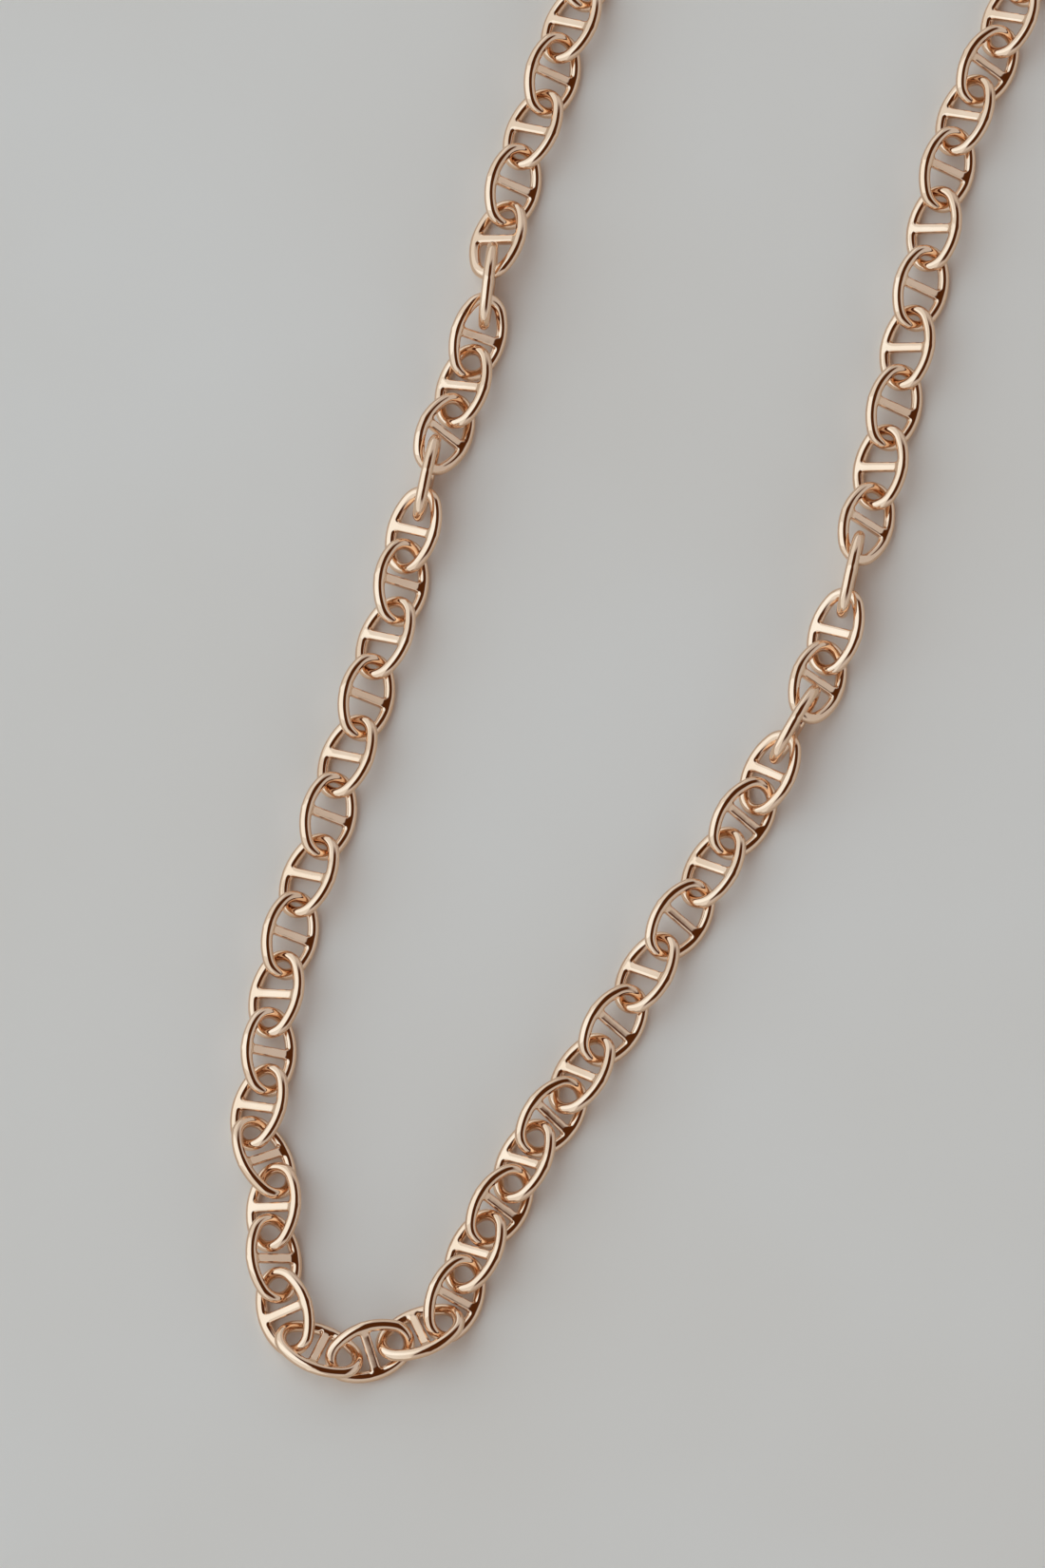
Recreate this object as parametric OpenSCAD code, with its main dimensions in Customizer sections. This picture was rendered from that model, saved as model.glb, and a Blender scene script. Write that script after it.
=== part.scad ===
// Chain necklace: stud links laid out in a long V, with a lever clasp and a catch ring.
// Millimetres, +Z up, origin under the middle of the whole piece, on the surface it lies on.

/* [Link] */
// Outside length of one link
link_l = 9.35; // [8.9:0.05:9.8]
// Outside width of one link
link_w = 6.3; // [5.9:0.1:6.7]
// Diameter of the round rim wire
wire_d = 1.2; // [1:0.05:1.25]
// Diameter of the straight crossbar
bar_d = 0.95; // [0.7:0.05:1]
// Radius of the wire's centreline round each end of a link
end_r = 1.95; // [1.8:0.05:2.1]

/* [Lie] */
// Tilt of the links, alternately to one side and the other, in degrees
tilt = 30; // [28:1:32]
// Rise of a link towards a neighbour that stands on edge, in degrees
rise = 10; // [9:1:12]
// Sideways step of the joints between links, alternately left and right
zig = 0.2; // [0:0.05:0.25]
// Links that stand on edge, counted from the clasp end
on_edge = [8, 12, 43, 46];

/* [Rings] */
// Centreline radius of the ring that holds the clasp
ring_r = 2; // [1.9:0.1:2.2]
// Wire diameter of the ring that holds the clasp
ring_d = 0.7; // [0.6:0.05:0.8]
// Centreline radius of the catch ring
catch_r = 2.3; // [2:0.1:2.6]
// Wire diameter of the catch ring
catch_d = 0.8; // [0.7:0.05:0.9]

/* [Clasp] */
// Thickness of the clasp
clasp_t = 2.2; // [2:0.1:2.3]
// Outside radius of the hook
hook_r = 3.3; // [3:0.1:3.5]
// Radial thickness of the hook
hook_w = 1.3; // [1.1:0.1:1.4]
// Radius of the clasp's round body
head_r = 3.1; // [2.9:0.1:3.3]
// Thickness of the lever
lever_t = 1; // [0.8:0.05:1.1]
// Radius of the rivet that the lever turns on
pin_r = 0.4; // [0.3:0.05:0.45]

/* [Hidden] */
$fn = 48;
gold = [0.86, 0.63, 0.47];
// The chain starts here and runs through each point in turn: x, y, and the links used to get there.
start = [9, 157.5];
runs = [
    [6, 145, 2], [2.1, 133.8, 2], [-2, 121.5, 2], [-3, 116.1, 1], [-4, 110.9, 1], [-5.1, 105.8, 1],
    [-7, 100.5, 1], [-9, 95.5, 1], [-10.5, 90.5, 1], [-13, 79.5, 2], [-24.5, 42, 6], [-26, 30, 2],
    [-27.1, 24.6, 1], [-25, 19.5, 1], [-25.1, 14.3, 1], [-24.9, 8.9, 1], [-22.8, 3.5, 1],
    [-17.9, 1, 1], [-12.8, 3.2, 1], [-7.7, 4.9, 1], [-6, 10, 1], [1.4, 24, 3], [7.5, 33, 2],
    [21, 55, 4], [26.5, 64.5, 2], [31.2, 74.1, 2], [32.6, 79.9, 1], [34.3, 85.6, 1],
    [35.9, 91.3, 1], [44.4, 129.6, 6], [51.5, 145.5, 3], [57, 157.5, 2]
];
count = 58;
// Links at each far end that are kept together as one piece
end_links = 3;
// Middle of the whole layout, moved to the origin
middle = [15.1, 85.02];

// Link proportions: the centreline is an oval of two end arcs and two long side arcs.
half_l = (link_l - wire_d) / 2;
half_w = (link_w - wire_d) / 2;
side_r = (half_l * half_l - 2 * half_l * end_r + half_w * half_w) / (2 * (half_w - end_r));
end_a = atan2(side_r - half_w, half_l - end_r);

// Route: joints between links lie evenly along each run, stepped a little to alternate sides.
function run_of(j, i = 0, base = 0) =
    j <= base + runs[i][2] ? [i, j - base] : run_of(j, i + 1, base + runs[i][2]);
function corner(i) = i < 0 ? start : [runs[i][0], runs[i][1]];
function knot(j) =
    j <= 0 ? start
    : let (r = run_of(j), p = corner(r[0] - 1), q = corner(r[0])) p + (q - p) * r[1] / runs[r[0]][2];
function course(j) = let (v = knot(min(j + 1, count)) - knot(max(j - 1, 0))) v / norm(v);
function side(j) = j % 2 == 0 ? 1 : -1;
function joint_at(j) = knot(j) + side(j) * zig * [-course(j)[1], course(j)[0]];

// Pose of link k: centre, heading, rise and tilt. Each link rests on the surface at z = 0.
function stands(k) = len(search(k, on_edge)) > 0;
function swapped(k) = (k > on_edge[0] && k < on_edge[1]) || (k > on_edge[2] && k < on_edge[3]);
function tilt_of(k) = stands(k) ? 90 : (swapped(k) ? 1 : -1) * side(k) * tilt;
function rise_of(k) = rise * ((stands(k + 1) ? 1 : 0) - (stands(k - 1) ? 1 : 0));
function span(k) = joint_at(k) - joint_at(k - 1);
function heading(k) = atan2(span(k)[1], span(k)[0]);
function rest_z(a, b, up, over, wire) = norm([a * sin(up), b * sin(over) * cos(up)]) + wire / 2;
function centre(k) =
    let (m = (joint_at(k) + joint_at(k - 1)) / 2)
    [m[0], m[1], rest_z(half_l, half_w, rise_of(k), tilt_of(k), wire_d)];
function ahead(k) =
    [cos(rise_of(k)) * cos(heading(k)), cos(rise_of(k)) * sin(heading(k)), sin(rise_of(k))];

// End fittings: the rings thread the first and the last link, the clasp's eye threads its ring.
grip = 1.5;
ring_z = 1.6;
ring_tilt = 30;
catch_tilt = 35;
eye_r = 0.95;
eye_d = 0.7;
clasp_z = eye_r + eye_d / 2;
tail_dir = -ahead(1);
tail = centre(1) + half_l * tail_dir;
tail_a = heading(1) + 180;
ring_c = tail + (ring_r - grip) * tail_dir;
ring_up = asin((clasp_z - ring_z) / ring_r);
head_dir = ahead(count);
catch_c = centre(count) + (half_l + catch_r - grip) * head_dir;

// Clasp, in its own plane: the hook's ring is centred on hook_x, the round body on the origin.
hook_x = 3.5;
eye_x = -3.9;
mouth_a = [-110, -35];
pin_at = [0.8, -2.3];
lever_tip = [4.5, -1];
lever_w = 0.9;
tab_at = [-0.6, -3.5];
slot_t = lever_t + 0.2;
play = 0.04;

function name(k) = str("link_", k < 10 ? "0" : "", k);
loose = [for (k = [end_links + 1:count - end_links]) k];

module arc(r, from, sweep, d) {
    rotate([0, 0, from]) rotate_extrude(angle = sweep) translate([r, 0]) circle(d = d);
}

module hoop(r, d) {
    rotate_extrude() translate([r, 0]) circle(d = d);
}

module rod(p, q, d) {
    v = q - p;
    translate(p) rotate([0, acos(v[2] / norm(v)), atan2(v[1], v[0])]) cylinder(h = norm(v), d = d);
}

// One link, long axis on X, lying in the XY plane
module link() {
    for (s = [0, 180]) rotate([0, 0, s]) {
        translate([half_l - end_r, 0, 0]) arc(end_r, -end_a, 2 * end_a, wire_d);
        translate([0, half_w - side_r, 0]) arc(side_r, end_a, 180 - 2 * end_a, wire_d);
    }
    rod([0, -half_w, 0], [0, half_w, 0], bar_d);
}

module placed_link(k) {
    color(gold)
        translate(centre(k)) rotate([0, 0, heading(k)]) rotate([0, -rise_of(k), 0]) rotate([tilt_of(k), 0, 0])
        link();
}

module clasp_ring() {
    color(gold)
        translate([ring_c[0], ring_c[1], ring_z]) rotate([0, 0, tail_a]) rotate([0, -ring_up, 0])
        rotate([ring_tilt, 0, 0]) hoop(ring_r, ring_d);
}

module catch_ring() {
    color(gold)
        translate([catch_c[0], catch_c[1], rest_z(catch_r, catch_r, 0, catch_tilt, catch_d)])
        rotate([0, 0, heading(count)]) rotate([catch_tilt, 0, 0]) hoop(catch_r, catch_d);
}

// Clasp frame: origin at the middle of the round body, X towards the hook
module in_clasp() {
    eye = [ring_c[0], ring_c[1], 0] + (ring_r * cos(ring_up)) * [cos(tail_a), sin(tail_a), 0];
    translate([eye[0], eye[1], clasp_z]) rotate([0, 0, tail_a]) translate([-eye_x, 0, 0]) children();
}

module slab(r, t) {
    edge = 0.5;
    rotate_extrude() {
        square_half(r - edge, t);
        square_half(r, t - 2 * edge);
        for (s = [-1, 1]) translate([r - edge, s * (t / 2 - edge)]) circle(r = edge);
    }
}

module square_half(w, h) {
    translate([0, -h / 2]) square([w, h]);
}

module hook() {
    m = hook_r - hook_w / 2;
    flat = clasp_t - hook_w;
    rotate([0, 0, mouth_a[1]]) rotate_extrude(angle = 360 - mouth_a[1] + mouth_a[0]) translate([m, 0]) {
        translate([-hook_w / 2, -flat / 2]) square([hook_w, flat]);
        for (s = [-1, 1]) translate([0, s * flat / 2]) circle(d = hook_w);
    }
}

module slot_space() {
    translate([-2.2, -7, -slot_t / 2]) cube([5.4, 6.4, slot_t]);
}

module clasp_body() {
    color(gold) in_clasp() difference() {
        union() {
            slab(head_r, clasp_t);
            translate([hook_x, 0, 0]) hook();
            translate([eye_x, 0, 0]) rotate([90, 0, 0]) hoop(eye_r, eye_d);
        }
        translate([hook_x, 0, -clasp_t]) cylinder(h = 2 * clasp_t, r = hook_r - hook_w);
        slot_space();
        translate([pin_at[0], pin_at[1], -clasp_t]) cylinder(h = 2 * clasp_t, r = pin_r + play / 2);
    }
}

module clasp_pin() {
    head = 0.15;
    color(gold) in_clasp() translate([pin_at[0], pin_at[1], 0]) {
        translate([0, 0, -clasp_t / 2]) cylinder(h = clasp_t, r = pin_r);
        for (s = [0, 180]) rotate([s, 0, 0]) translate([0, 0, clasp_t / 2]) cylinder(h = head, r1 = 0.6, r2 = 0.45);
    }
}

module bar_2d(p, q, w) {
    v = q - p;
    translate(p) rotate([0, 0, atan2(v[1], v[0])]) translate([0, -w / 2]) square([norm(v), w]);
    translate(q) circle(d = w);
}

module clasp_lever() {
    color(gold) in_clasp() translate([0, 0, -lever_t / 2]) difference() {
        linear_extrude(height = lever_t) {
            translate(pin_at) circle(r = 0.75);
            bar_2d(pin_at, lever_tip, lever_w);
            bar_2d(pin_at, tab_at, lever_w);
        }
        translate([pin_at[0], pin_at[1], -1]) cylinder(h = lever_t + 2, r = pin_r + play);
    }
}

// Bent wire that keeps the lever shut, held in the slot behind the rivet
module clasp_spring() {
    d = 0.3;
    bend = 0.4;
    leg = 0.7;
    color(gold) in_clasp() translate([-0.9, -1.6, 0]) {
        arc(bend, 90, 180, d);
        for (s = [-1, 1]) rod([0, s * bend, 0], [leg, s * bend, 0], d);
    }
}

translate([-middle[0], -middle[1], 0]) {
    for (k = loose) placed_link(k);
    for (k = [1:end_links]) placed_link(k);  // links_clasp_end
    for (k = [count - end_links + 1:count]) placed_link(k);  // links_catch_end
    clasp_ring();
    clasp_body();
    clasp_lever();
    clasp_pin();
    clasp_spring();
    catch_ring();
}
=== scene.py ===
import bpy
import numpy as np
from mathutils import Matrix, Vector


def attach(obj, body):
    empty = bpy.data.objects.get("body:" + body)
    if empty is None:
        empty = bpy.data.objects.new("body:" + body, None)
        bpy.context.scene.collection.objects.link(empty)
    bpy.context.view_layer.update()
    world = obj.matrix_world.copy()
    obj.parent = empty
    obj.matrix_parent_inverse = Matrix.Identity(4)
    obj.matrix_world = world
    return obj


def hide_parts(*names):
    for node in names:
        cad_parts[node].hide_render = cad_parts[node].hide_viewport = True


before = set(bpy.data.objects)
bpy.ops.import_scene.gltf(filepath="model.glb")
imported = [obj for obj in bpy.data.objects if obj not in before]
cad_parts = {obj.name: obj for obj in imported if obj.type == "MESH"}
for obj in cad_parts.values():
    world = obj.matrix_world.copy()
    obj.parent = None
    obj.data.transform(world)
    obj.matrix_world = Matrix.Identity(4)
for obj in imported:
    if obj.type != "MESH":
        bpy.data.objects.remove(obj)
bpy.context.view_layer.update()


# ---- Stud links -------------------------------------------------------------------------
# Each link is an oval of round brass wire with a straight, slightly flattened bar soldered
# across its waist. It is tumbled and mirror-polished before plating, so the bar runs into the
# rim in a small fillet. Nothing holds the links but each other's loops.

# Sizes are in millimetres: a link's length and width, its wire, and the radius of its ends.
MM = 0.001
LINK_L, LINK_W, WIRE, END_R = 9.35, 6.3, 1.2, 1.95
WIRE_HALF = (WIRE / 2, WIRE / 2)
BAR_HALF = (0.5, 0.42)
# The power of a section's outline: 2 is round, and 4 is a square with well-rounded corners.
ROUND, SQUARISH = 2.0, 4.0
FILLET = 0.3
# The fillet is looked for this far each way along the link from the bar.
FILLET_REACH = 1.2
# The bar's drawn ends stop this far short of the wire's middle, and round over from BAR_ROUND.
BAR_SHORT, BAR_ROUND = 0.12, 0.3

# The middle of the wire: half its length and width, the radius of its long sides, and the angle
# at which an end arc meets a side arc without a corner.
half_l = (LINK_L - WIRE) / 2
half_w = (LINK_W - WIRE) / 2
side_r = (half_l**2 - 2 * half_l * END_R + half_w**2) / (2 * (half_w - END_R))
end_a = np.arctan2(side_r - half_w, half_l - END_R)


def oval(n):
    """n points of the rim's centreline, evenly spaced: an end arc of radius END_R, then a long
    side arc of radius side_r, twice round."""
    arcs = [
        (half_l - END_R, 0, END_R, -end_a, end_a),
        (0, half_w - side_r, side_r, end_a, np.pi - end_a),
        (END_R - half_l, 0, END_R, np.pi - end_a, np.pi + end_a),
        (0, side_r - half_w, side_r, np.pi + end_a, 2 * np.pi - end_a),
    ]
    lengths = np.array([r * (b - a) for _, _, r, a, b in arcs])
    starts = np.concatenate([[0], np.cumsum(lengths)])
    s = np.arange(n) / n * starts[-1]
    which = np.clip(np.searchsorted(starts, s, side="right") - 1, 0, 3)
    cx, cy, r, a, _ = np.array(arcs)[which].T
    turn = a + (s - starts[which]) / r
    return np.stack([cx + r * np.cos(turn), cy + r * np.sin(turn)], -1)


def swept(path, across, up, half, power, around, closed):
    """A bar or wire along a path. At each point its section is a superellipse, the curve where
    (x / half[0]) ** power + (y / half[1]) ** power = 1, with x along the vector across and y
    along up. Returns vertices and quads, with flat ends unless closed."""
    n = len(path)
    turn = (np.arange(around) + 0.5) / around * 2 * np.pi
    c, s = np.cos(turn), np.sin(turn)
    reach = (np.abs(c) ** power + np.abs(s) ** power) ** (-1 / power)
    x, y = half[0] * reach * c, half[1] * reach * s
    ring = x[None, :, None] * across[:, None] + y[None, :, None] * up[:, None]
    verts = (path[:, None] + ring).reshape(-1, 3)
    i, j = np.meshgrid(np.arange(n if closed else n - 1), np.arange(around), indexing="ij")
    k, m = (i + 1) % n, (j + 1) % around
    quads = np.stack([i * around + j, k * around + j, k * around + m, i * around + m], -1)
    faces = quads.reshape(-1, 4).tolist()
    if not closed:
        faces += [list(range(around)), list(range((n - 1) * around, n * around))[::-1]]
    return verts, faces


def mesh_object(name, verts, faces, smooth=True):
    """A mesh object of these vertices, in millimetres, and faces."""
    mesh = bpy.data.meshes.new(name)
    mesh.from_pydata((np.asarray(verts) * MM).tolist(), [], faces)
    mesh.validate()
    mesh.polygons.foreach_set("use_smooth", [smooth] * len(mesh.polygons))
    obj = bpy.data.objects.new(name, mesh)
    bpy.context.scene.collection.objects.link(obj)
    return obj


def section_size(x, y, half, power):
    """How far a point is outside a superellipse section: its reach, times the section's mean
    half size, less that size."""
    mean = (half[0] + half[1]) / 2
    return mean * (((np.abs(x) / half[0]) ** power + (np.abs(y) / half[1]) ** power) ** (1 / power) - 1)


def rim_distance(p):
    """About the distance from the rim's surface: the distance in plan to the nearer of the two
    kinds of arc, and the height above the link's plane, put to the wire's section."""
    x, y, z = np.abs(p).T
    near_end = np.arctan2(y, x - (half_l - END_R)) < end_a
    to_end = np.hypot(x - (half_l - END_R), y) - END_R
    to_side = np.hypot(x, y + side_r - half_w) - side_r
    return section_size(np.where(near_end, to_end, to_side), z, WIRE_HALF, ROUND)


def bar_distance(p):
    """About the distance from the bar's surface, whose ends are rounded inside the rim."""
    beyond = np.maximum(np.abs(p[:, 1]) - (half_w - BAR_ROUND), 0)
    return np.hypot(section_size(p[:, 0], p[:, 2], BAR_HALF, SQUARISH) + 1, beyond) - 1


def filleted(p):
    """The nearer of the two distances a and b, less (FILLET - |a - b|) ** 2 / (4 * FILLET) where
    they are closer than FILLET to each other, which fills the corner between rim and bar."""
    a, b = rim_distance(p), bar_distance(p)
    near = np.maximum(FILLET - np.abs(a - b), 0)
    return np.minimum(a, b) - near**2 / (4 * FILLET)


def pulled_to(surface, p, steps=6):
    """Each point moved along the slope of the distance, to where the distance is nothing. A step
    is distance / slope ** 2 times the slope, where the slope is the change over a short way h
    to each side of the point, and no slope counts as flatter than the square root of 0.3."""
    h = 1e-4
    flattest = 0.3
    for _ in range(steps):
        d = surface(p)
        slope = np.stack([surface(p + h * e) - surface(p - h * e) for e in np.eye(3)], -1) / (2 * h)
        p = p - (d / np.maximum((slope**2).sum(-1), flattest))[:, None] * slope
    return p


def stud_link():
    """One link in its own axes, long side on X: the rim and the bar made one closed skin by a
    Boolean, then every point near their corner pulled out to the fillet."""
    line = oval(200)
    along = np.roll(line, -1, 0) - np.roll(line, 1, 0)
    along /= np.linalg.norm(along, axis=1)[:, None]
    path = np.pad(line, ((0, 0), (0, 1)))
    out = np.stack([along[:, 1], -along[:, 0], np.zeros(len(line))], -1)
    up = np.tile([0.0, 0.0, 1.0], (len(line), 1))
    rim = mesh_object("rim", *swept(path, out, up, WIRE_HALF, ROUND, 28, True))
    y = np.linspace(BAR_SHORT - half_w, half_w - BAR_SHORT, 30)
    path = np.stack([0 * y, y, 0 * y], -1)
    flat = [np.tile(v, (len(y), 1)) for v in ([1.0, 0, 0], [0, 0, -1.0])]
    bar = mesh_object("bar", *swept(path, *flat, BAR_HALF, SQUARISH, 28, False))
    join = rim.modifiers.new("join", "BOOLEAN")
    join.operation, join.solver, join.object = "UNION", "EXACT", bar
    made = bpy.data.meshes.new_from_object(rim.evaluated_get(bpy.context.evaluated_depsgraph_get()))
    verts = np.empty(len(made.vertices) * 3)
    made.vertices.foreach_get("co", verts)
    verts = verts.reshape(-1, 3) / MM
    faces = [list(f.vertices) for f in made.polygons]
    for o in (rim, bar):
        bpy.data.objects.remove(o)
    near = np.abs(verts[:, 0]) < FILLET_REACH
    verts[near] = pulled_to(filleted, verts[near])
    return verts, faces


# The chain's route in plan: a start, and then each bend with the number of links used to reach
# it. MIDDLE is the middle of the necklace's footprint in the same plan.
MIDDLE = (15.1, 85.02)
START = (9, 157.5)
RUNS = [
    (6, 145, 2), (2.1, 133.8, 2), (-2, 121.5, 2), (-3, 116.1, 1), (-4, 110.9, 1), (-5.1, 105.8, 1),
    (-7, 100.5, 1), (-9, 95.5, 1), (-10.5, 90.5, 1), (-13, 79.5, 2), (-24.5, 42, 6), (-26, 30, 2),
    (-27.1, 24.6, 1), (-25, 19.5, 1), (-25.1, 14.3, 1), (-24.9, 8.9, 1), (-22.8, 3.5, 1),
    (-17.9, 1, 1), (-12.8, 3.2, 1), (-7.7, 4.9, 1), (-6, 10, 1), (1.4, 24, 3), (7.5, 33, 2),
    (21, 55, 4), (26.5, 64.5, 2), (31.2, 74.1, 2), (32.6, 79.9, 1), (34.3, 85.6, 1),
    (35.9, 91.3, 1), (44.4, 129.6, 6), (51.5, 145.5, 3), (57, 157.5, 2),
]
# Degrees that a link leans to one side, degrees that it rises to reach a neighbour on edge, and
# the sideways step of the joints. Four links stand on edge, and three at each end move as one.
TILT, RISE, ZIG = 30, 10, 0.2
ON_EDGE = (8, 12, 43, 46)
END_LINKS = 3


def places():
    """A turn-and-move matrix for each link. Joints lie evenly along each run and step ZIG to
    alternate sides; a link lies between two joints, heads along them, and leans TILT degrees to
    alternate sides, or stands on edge. Its centre is high enough for it to rest on the floor."""
    knots, p = [np.array(START, float)], np.array(START, float)
    for x, y, n in RUNS:
        q = np.array((x, y), float)
        knots += [p + (q - p) * k / n for k in range(1, n + 1)]
        p = q
    knots = np.array(knots)
    course = np.vstack([knots[1] - knots[0], knots[2:] - knots[:-2], knots[-1] - knots[-2]])
    course /= np.linalg.norm(course, axis=1)[:, None]
    sign = np.where(np.arange(len(knots)) % 2, -1, 1)[:, None]
    joints = knots + sign * ZIG * np.stack([-course[:, 1], course[:, 0]], -1) - MIDDLE
    made = []
    for k in range(1, len(joints)):
        step = joints[k] - joints[k - 1]
        swapped = ON_EDGE[0] < k < ON_EDGE[1] or ON_EDGE[2] < k < ON_EDGE[3]
        lean = np.radians(90 if k in ON_EDGE else TILT * (1 if (k % 2 == 1) != swapped else -1))
        up = np.radians(RISE * ((k + 1 in ON_EDGE) - (k - 1 in ON_EDGE)))
        rest = np.hypot(half_l * np.sin(up), half_w * np.sin(lean) * np.cos(up)) + WIRE / 2
        made.append(
            Matrix.Translation((*((joints[k] + joints[k - 1]) / 2), rest))
            @ Matrix.Rotation(np.arctan2(step[1], step[0]), 4, "Z")
            @ Matrix.Rotation(-up, 4, "Y")
            @ Matrix.Rotation(lean, 4, "X")
        )
    return made


def placed(verts, place):
    """The vertices after a 4 by 4 turn-and-move matrix."""
    m = np.array(place)
    return np.asarray(verts) @ m[:3, :3].T + m[:3, 3]


def linear(code):
    """A hex sRGB colour as linear red, green, blue and full opacity."""
    c = np.array([int(code[i : i + 2], 16) for i in (1, 3, 5)]) / 255
    c = np.where(c <= 0.04045, c / 12.92, ((c + 0.055) / 1.055) ** 2.4)
    return (*c.tolist(), 1.0)


def node(tree, kind, settings=None, links=None, **inputs):
    """Adds a node to a tree. settings are its own properties, inputs its sockets' values, and
    links a socket name or number to the output that feeds it."""
    made = tree.nodes.new("ShaderNode" + kind)
    for key, value in (settings or {}).items():
        setattr(made, key, value)
    for key, value in inputs.items():
        made.inputs[key.replace("_", " ")].default_value = value
    for key, value in (links or {}).items():
        tree.links.new(value, made.inputs[key])
    return made


def two_tone(tree, fac, low, high, first, second):
    """A ramp from the first hex colour, where fac is low or less, to the second, where fac is
    high or more."""
    made = node(tree, "ValToRGB", links={"Fac": fac})
    for end, at, code in zip(made.color_ramp.elements, (low, high), (first, second)):
        end.position = at
        end.color = linear(code)
    return made.outputs["Color"]


def bare_material(name):
    """A new material without nodes, its node tree, and each point's place on the object."""
    made = bpy.data.materials.new(name)
    made.use_nodes = True
    made.node_tree.nodes.clear()
    return made, made.node_tree, node(made.node_tree, "TexCoord").outputs["Object"]


def rose_gold(name, deep, pale, rough):
    """Rose gold plating over polished brass. The plating is a little redder where the current
    ran higher, so its colour drifts over about 6 mm. Polishing leaves hairlines about 0.05 mm
    apart, drawn at 0.12 mm to show, and wear leaves small dull patches of about 1 mm."""
    mat, t, place = bare_material(name)
    drift = node(t, "TexNoise", links={"Vector": place}, Scale=1 / (6 * MM), Detail=2.0, Roughness=0.5)
    tone = two_tone(t, drift.outputs["Fac"], 0.35, 0.65, deep, pale)
    wear = node(t, "TexNoise", links={"Vector": place}, Scale=1 / (1 * MM), Detail=4.0, Roughness=0.6)
    dull = node(t, "MapRange", links={"Value": wear.outputs["Fac"]},
                From_Min=0.45, From_Max=0.75, To_Min=rough, To_Max=rough + 0.06)
    grain = node(t, "Mapping", links={"Vector": place}, Scale=(1.0, 1.0, 0.25))
    hair = node(t, "TexNoise", links={"Vector": grain.outputs["Vector"]},
                Scale=1 / (0.12 * MM), Detail=2.0, Roughness=0.5)
    swell = node(t, "TexNoise", links={"Vector": place}, Scale=1 / (1.6 * MM), Detail=1.0)
    fine = node(t, "Bump", links={"Height": hair.outputs["Fac"]}, Strength=0.05, Distance=0.02 * MM)
    soft = node(t, "Bump", links={"Height": swell.outputs["Fac"], "Normal": fine.outputs["Normal"]},
                Strength=0.25, Distance=0.08 * MM)
    skin = node(t, "BsdfPrincipled", Metallic=1.0, links={
        "Base Color": tone, "Roughness": dull.outputs["Result"],
        "Normal": soft.outputs["Normal"]})
    node(t, "OutputMaterial", links={"Surface": skin.outputs["BSDF"]})
    return mat


# Bright rose-gold plating: gold alloyed with copper, laid over polished brass.
plating = rose_gold("rose_gold_plating", "#ECC6A4", "#F3D0B0", 0.05)

link_verts, link_faces = stud_link()
link_places = places()
for k, place in enumerate(link_places, 1):
    link = mesh_object(f"stud_link_{k:02d}", placed(link_verts, place), link_faces)
    link.data.materials.append(plating)
    if k <= END_LINKS:
        body = "links_clasp_end"
    elif k > len(link_places) - END_LINKS:
        body = "links_catch_end"
    else:
        body = f"link_{k:02d}"
    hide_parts(body)
    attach(link, body)


# ---- Clasp ring and catch ring ----------------------------------------------------------
# Each ring is one turn sawn from a coil of plated wire and closed end to end, not soldered, so
# a hairline seam shows. The seam is turned to the ring's upper side, clear of what hangs on it.

# The width of the seam.
SEAM = 0.05


def jump_ring(name, source):
    """A ring of round wire with a seam. Its centre, plane and sizes are the solid's: a torus is
    evenly spread about its centre, thinnest across its plane, and its inner and outer radii
    differ by the wire's thickness."""
    verts = np.empty(len(source.data.vertices) * 3)
    source.data.vertices.foreach_get("co", verts)
    verts = placed(verts.reshape(-1, 3), source.matrix_world) / MM
    centre = (verts.min(0) + verts.max(0)) / 2
    normal = np.linalg.svd(verts - centre, full_matrices=False)[2][2]
    level = np.cross(normal, (0, 0, 1)) / np.linalg.norm(np.cross(normal, (0, 0, 1)))
    upper = np.cross(normal, level)
    upper *= np.sign(upper[2])
    reach = np.hypot((verts - centre) @ level, (verts - centre) @ upper)
    ring_r, wire_r = (reach.max() + reach.min()) / 2, (reach.max() - reach.min()) / 2
    turn = np.linspace(SEAM / ring_r / 2, 2 * np.pi - SEAM / ring_r / 2, 120)[:, None]
    out = np.cos(turn) * upper + np.sin(turn) * level
    side = np.tile(np.cross(upper, level), (len(turn), 1))
    return mesh_object(name, *swept(centre + ring_r * out, out, side, (wire_r, wire_r), 2, 28, False))


for name in ("clasp_ring", "catch_ring"):
    ring = jump_ring(name.replace("_", "_jump_"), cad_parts[name])
    ring.data.materials.append(plating)
    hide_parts(name)
    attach(ring, name)


# ---- Clasp ------------------------------------------------------------------------------
# The body and the lever are cast brass, tumbled until their edges round over by 0.08 mm and
# plated like the links. A plated rivet holds the lever, and a bare steel wire springs it shut.

EDGE = 0.08


def drawn_steel(name, dark, bright):
    """Bare spring steel. Drawing leaves marks about 0.05 mm across, and a thin oxide darkens it
    in patches of about 0.8 mm."""
    mat, t, place = bare_material(name)
    oxide = node(t, "TexNoise", links={"Vector": place}, Scale=1 / (0.8 * MM), Detail=3.0)
    tone = two_tone(t, oxide.outputs["Fac"], 0.35, 0.65, dark, bright)
    marks = node(t, "TexNoise", links={"Vector": place}, Scale=1 / (0.05 * MM), Detail=1.0)
    fine = node(t, "Bump", links={"Height": marks.outputs["Fac"]}, Strength=0.1, Distance=0.01 * MM)
    skin = node(t, "BsdfPrincipled", Metallic=1.0, Roughness=0.28, links={
        "Base Color": tone, "Normal": fine.outputs["Normal"]})
    node(t, "OutputMaterial", links={"Surface": skin.outputs["BSDF"]})
    return mat


# Drawn stainless spring wire, left bare.
spring_wire = drawn_steel("drawn_spring_steel", "#A6A29D", "#C9C7C4")

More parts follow.
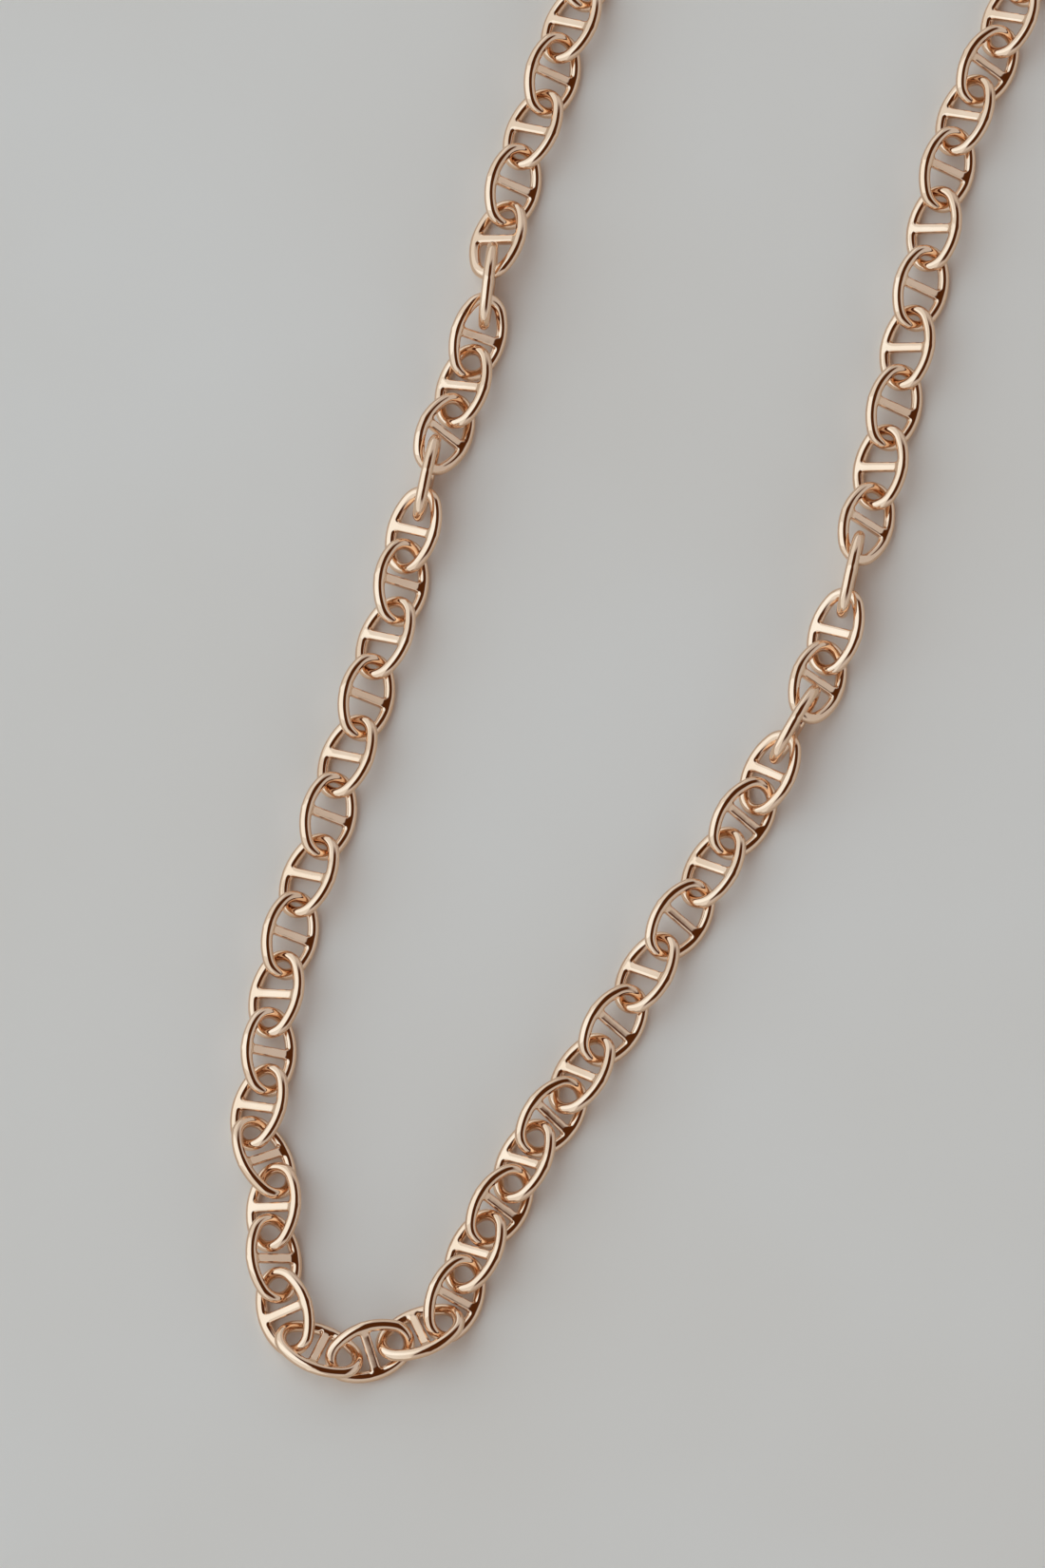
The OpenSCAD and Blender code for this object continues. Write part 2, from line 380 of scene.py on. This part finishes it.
for name in ("clasp_body", "clasp_lever", "clasp_pin", "clasp_spring"):
    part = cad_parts[name]
    part.data.materials.clear()
    part.data.materials.append(spring_wire if name == "clasp_spring" else plating)
    if name != "clasp_spring":
        weld = part.modifiers.new("one_skin", "WELD")
        weld.merge_threshold = 0.0005 * MM
        round_over = part.modifiers.new("tumbled_edges", "BEVEL")
        round_over.width, round_over.segments = EDGE * MM, 3
        round_over.limit_method, round_over.angle_limit = "ANGLE", np.radians(35)
        part.modifiers.new("even_normals", "WEIGHTED_NORMAL")


# ---- Surface, light and camera ----------------------------------------------------------
# The necklace lies on a plain pale painted board. Cool daylight comes from the left, out of a
# pale wall and a large soft window. The right of the room is dimmer, and a dark brown ceiling
# above draws the dark line along each rim. The board is a little warm, so it looks neutral.
floor = mesh_object("floor", [(-3000, -3000, 0), (3000, -3000, 0), (3000, 3000, 0), (-3000, 3000, 0)],
                    [[0, 1, 2, 3]], smooth=False)
# Matt cream paint on a smooth board, faintly mottled over about 60 mm.
board, t, place = bare_material("matt_painted_board")
mottle = node(t, "TexNoise", links={"Vector": place}, Scale=1 / (60 * MM), Detail=3.0)
tone = two_tone(t, mottle.outputs["Fac"], 0.3, 0.7, "#F1E3D2", "#F5E9DA")
skin = node(t, "BsdfPrincipled", Roughness=0.7, links={"Base Color": tone})
node(t, "OutputMaterial", links={"Surface": skin.outputs["BSDF"]})
floor.data.materials.append(board)

world = bpy.data.worlds.new("room")
bpy.context.scene.world = world
world.use_nodes = True
t = world.node_tree
t.nodes.clear()
# A direction's lean is its angle from straight up towards the right, in radians, and far is how
# much of it runs along the room, towards the camera or away, from nothing to 1.
way = node(t, "SeparateXYZ", links={"Vector": node(t, "TexCoord").outputs["Generated"]})
lean = node(t, "Math", {"operation": "ARCTAN2"}, {0: way.outputs["X"], 1: way.outputs["Z"]})
lean = lean.outputs["Value"]
far = node(t, "Math", {"operation": "ABSOLUTE"}, {0: way.outputs["Y"]}).outputs["Value"]


def band(value, lo, hi):
    """A mask over the room that rises from nothing to full between lo and hi."""
    made = node(t, "MapRange", {"interpolation_type": "SMOOTHSTEP"}, {"Value": value},
                From_Min=lo, From_Max=hi)
    return made.outputs["Result"]


def times(a, b):
    """The product of two masks."""
    return node(t, "Math", {"operation": "MULTIPLY"}, {0: a, 1: b}).outputs["Value"]


# The dark ceiling is where all three masks are full; the walls change over overhead.
dark = times(times(band(lean, -0.16, -0.06), band(lean, 0.96, 0.8)), band(far, 0.78, 0.6))
walls = node(t, "ValToRGB", links={"Fac": band(lean, -0.3, 0.0)})
walls.color_ramp.elements[0].color = (0.76, 0.88, 1.0, 1)
walls.color_ramp.elements[1].color = (0.53, 0.57, 0.63, 1)
shade = node(t, "MixRGB", links={"Fac": dark, "Color1": walls.outputs["Color"]},
             Color2=(0.07, 0.024, 0.007, 1))
sky = node(t, "Background", links={"Color": shade.outputs["Color"]}, Strength=1.13)
node(t, "OutputWorld", links={"Surface": sky.outputs["Background"]})

# The window is 0.62 by 1 m and hangs 0.7 m away, to the left. BRIGHT is its light beyond the
# wall's; the power of a lamp that size is pi times its area times that.
BRIGHT = 0.5
window = bpy.data.lights.new("window", "AREA")
window.shape = "RECTANGLE"
window.size = 0.62
window.size_y = 1.0
window.energy = BRIGHT * np.pi * window.size * window.size_y
window.color = (0.5, 0.75, 1.0)
lamp = bpy.data.objects.new("window", window)
bpy.context.scene.collection.objects.link(lamp)
lamp.location = (-0.50, 0.06, 0.49)
lamp.rotation_euler = (-lamp.location).to_track_quat("-Z", "Y").to_euler()
lamp.visible_camera = False

# The camera looks down at 75 degrees from in front, through a long lens that is framed on the
# turn of the chain, so the clasp and the catch ring lie above the frame. AIM is in the route's
# plan, and FRAME_H is the height of what is framed.
AIM = (0, 61.5)
ELEVATION = np.radians(75)
FRAME_H = 159.4 * MM
DISTANCE = 1.3
SENSOR = 36
aim = Vector(((AIM[0] - MIDDLE[0]) * MM, (AIM[1] - MIDDLE[1]) * MM, 0))
lens = bpy.data.cameras.new("camera")
lens.sensor_width = SENSOR
lens.lens = SENSOR * DISTANCE / FRAME_H
camera = bpy.data.objects.new("camera", lens)
bpy.context.scene.collection.objects.link(camera)
camera.location = aim + DISTANCE * Vector((0, -np.cos(ELEVATION), np.sin(ELEVATION)))
camera.rotation_euler = (aim - camera.location).to_track_quat("-Z", "Y").to_euler()
lens.clip_start = 0.05
lens.clip_end = 20
bpy.context.scene.camera = camera
bpy.context.scene.view_settings.view_transform = "Standard"
